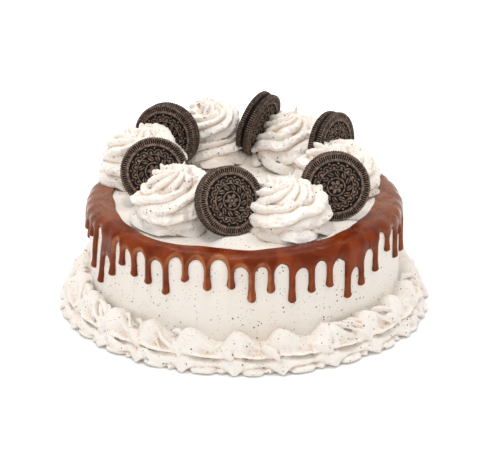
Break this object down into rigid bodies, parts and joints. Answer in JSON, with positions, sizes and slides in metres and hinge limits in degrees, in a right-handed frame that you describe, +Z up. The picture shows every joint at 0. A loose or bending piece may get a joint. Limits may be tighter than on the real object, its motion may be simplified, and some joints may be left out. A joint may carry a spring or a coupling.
{
  "type": "cookies and cream cake",
  "caption": "Round frosted cake with a chocolate drip glaze, a piped shell border at its foot, and a ring of cream swirls and chocolate sandwich cookies on top.",
  "frame": {"origin": "centre of the underside, on the surface that the cake stands on", "axes": "+Z up, -Y towards the front in the picture, +X to the right seen from the front"},
  "size_m": [0.2456, 0.2414, 0.1211],
  "materials": {
    "frosting": "smooth cream frosting, soft sheen, flecked with fine dark crumbs",
    "piped_cream": "piped whipped cream, soft sheen, flecked with fine dark crumbs",
    "chocolate_glaze": "glossy set chocolate glaze",
    "cocoa_wafer": "matt dark baked cocoa wafer with a fine embossed relief",
    "dark_filling": "matt dark cocoa filling"
  },
  "bodies": {
    "root": {"base_border": "piped_cream", "cake_body": "frosting", "chocolate_glaze": "chocolate_glaze", "cookie_back_back_wafer": "cocoa_wafer", "cookie_back_filling": "dark_filling", "cookie_back_front_wafer": "cocoa_wafer", "cookie_back_left_back_wafer": "cocoa_wafer", "cookie_back_left_filling": "dark_filling", "cookie_back_left_front_wafer": "cocoa_wafer", "cookie_back_right_back_wafer": "cocoa_wafer", "cookie_back_right_filling": "dark_filling", "cookie_back_right_front_wafer": "cocoa_wafer", "cookie_front_back_wafer": "cocoa_wafer", "cookie_front_filling": "dark_filling", "cookie_front_front_wafer": "cocoa_wafer", "cookie_left_back_wafer": "cocoa_wafer", "cookie_left_filling": "dark_filling", "cookie_left_front_wafer": "cocoa_wafer", "cookie_right_back_wafer": "cocoa_wafer", "cookie_right_filling": "dark_filling", "cookie_right_front_wafer": "cocoa_wafer", "swirl_back_left": "piped_cream", "swirl_back_right": "piped_cream", "swirl_front_left": "piped_cream", "swirl_front_right": "piped_cream", "swirl_left": "piped_cream", "swirl_right": "piped_cream"}
  },
  "joints": []
}
